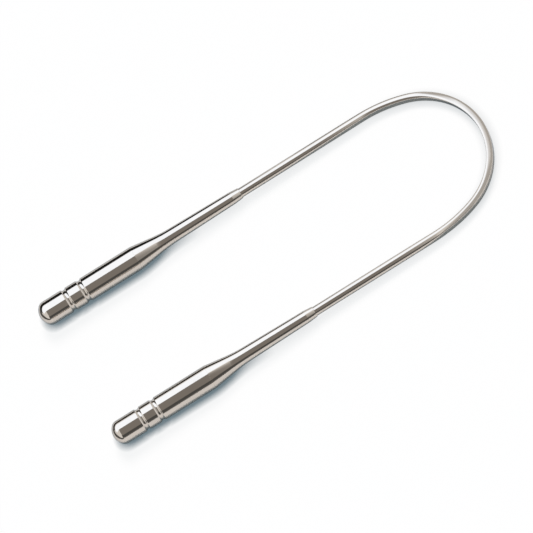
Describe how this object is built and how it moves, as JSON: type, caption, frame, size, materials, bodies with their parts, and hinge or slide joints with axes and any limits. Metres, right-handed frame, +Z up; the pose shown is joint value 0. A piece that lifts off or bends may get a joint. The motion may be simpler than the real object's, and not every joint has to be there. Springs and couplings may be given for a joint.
{
  "type": "tongue scraper",
  "caption": "U-shaped polished steel tongue scraper: a springy round rod with flats along its bend, held by turned handles with ring grooves and tapered necks.",
  "frame": {"origin": "middle of the bounding box, on the surface that the grips lie on", "axes": "+Y along the arms from the handle tips to the bend, +X across the arms, +Z up"},
  "size_m": [0.058, 0.15, 0.008],
  "materials": {
    "bow_steel": "mirror polished stainless steel rod",
    "handle_steel": "mirror polished turned stainless steel"
  },
  "bodies": {
    "bow": {"scraper_bow": "bow_steel"},
    "left_handle": {"left_end_cap": "handle_steel", "left_grip": "handle_steel", "left_neck": "handle_steel"},
    "right_handle": {"right_end_cap": "handle_steel", "right_grip": "handle_steel", "right_neck": "handle_steel"}
  },
  "joints": [
    {"name": "left_flex", "type": "hinge", "parent": "bow", "child": "left_handle", "pos_m": [-0.0155, 0.0605, 0.004], "axis": [0, 0, 1], "range_deg": [-4, 4], "stiffness_Nm_per_rad": 11.7, "deforming": ["scraper_bow"]},
    {"name": "right_flex", "type": "hinge", "parent": "bow", "child": "right_handle", "pos_m": [0.0155, 0.0605, 0.004], "axis": [0, 0, 1], "range_deg": [-4, 4], "stiffness_Nm_per_rad": 11.7, "deforming": ["scraper_bow"]}
  ],
  "couplings": [
    {"joint": "right_flex", "follows": "left_flex", "ratio": -1}
  ]
}
